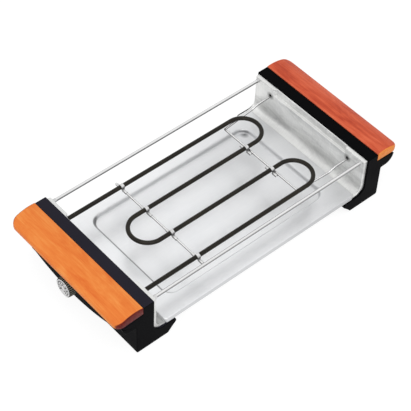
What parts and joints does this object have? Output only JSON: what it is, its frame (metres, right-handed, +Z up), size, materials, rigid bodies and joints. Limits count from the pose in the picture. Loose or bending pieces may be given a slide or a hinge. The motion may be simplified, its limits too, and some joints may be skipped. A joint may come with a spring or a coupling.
{
  "type": "electric fish roaster",
  "caption": "Tabletop electric roaster: open steel channel between black end caps with wooden grips, looped heater over a slide-out drip tray, rotary heat control.",
  "frame": {"origin": "on the table, under the middle of the roaster", "axes": "+X along the length away from the control knob, -Y the front, +Z up"},
  "size_m": [0.518, 0.235, 0.0939],
  "materials": {
    "black_plastic": "moulded, fine satin grain",
    "wood": "stained orange wood under satin varnish",
    "bright_steel": "bright rolled sheet",
    "tray_steel": "bright pressed sheet",
    "rod_steel": "bright drawn bar",
    "sheath": "dark oxidised heater sheath",
    "wire_steel": "bright drawn wire",
    "clip_steel": "cut steel strip",
    "screw_steel": "plated screws and nuts",
    "collar_steel": "plain turned steel",
    "ceramic": "off-white ceramic",
    "phenolic": "dark brown moulding",
    "brass": "plain brass",
    "rubber": "matt black rubber",
    "knob_plastic": "ribbed black moulding",
    "dial_metal": "spun silver disc",
    "lead_brown": "brown insulation",
    "lead_blue": "blue insulation",
    "lead_green": "green insulation",
    "lead_white": "heat-proof white insulation"
  },
  "bodies": {
    "roaster": {"left_end_cap": "black_plastic", "right_end_cap": "black_plastic", "left_base_cover": "black_plastic", "right_base_cover": "black_plastic", "base_cover_screws": "screw_steel", "rubber_feet": "rubber", "left_wood_grip": "wood", "right_wood_grip": "wood", "grip_screws": "screw_steel", "liner": "bright_steel", "front_tie_rod": "rod_steel", "back_tie_rod": "rod_steel", "tie_rod_nuts": "screw_steel", "tie_rod_collars": "collar_steel", "heater_element": "sheath", "heater_end_seals": "ceramic", "heater_pins": "screw_steel", "heater_brackets": "clip_steel", "bracket_screws": "screw_steel", "spacer_wire": "wire_steel", "spacer_clips": "clip_steel", "support_frame": "wire_steel", "support_clips": "clip_steel", "thermostat_body": "phenolic", "thermostat_tabs": "brass", "thermostat_nut": "screw_steel", "terminal_block": "ceramic", "terminal_screws": "brass", "lead_live": "lead_brown", "lead_neutral": "lead_blue", "lead_to_fuse": "lead_white", "lead_to_heater": "lead_white", "lead_earth": "lead_green", "thermal_fuse": "ceramic", "earth_screw": "screw_steel", "earth_lug": "brass", "cord_grommet": "rubber"},
    "knob": {"control_knob": "knob_plastic", "knob_dial": "dial_metal", "thermostat_shaft": "screw_steel"},
    "tray": {"drip_tray": "tray_steel"}
  },
  "joints": [
    {"name": "knob_turn", "type": "hinge", "parent": "roaster", "child": "knob", "pos_m": [-0.2465, 0, 0.052], "axis": [1, 0, 0], "range_deg": [0, 270]},
    {"name": "tray_slide", "type": "slide", "parent": "roaster", "child": "tray", "axis": [0, -1, 0], "range_m": [0, 0.233]}
  ]
}
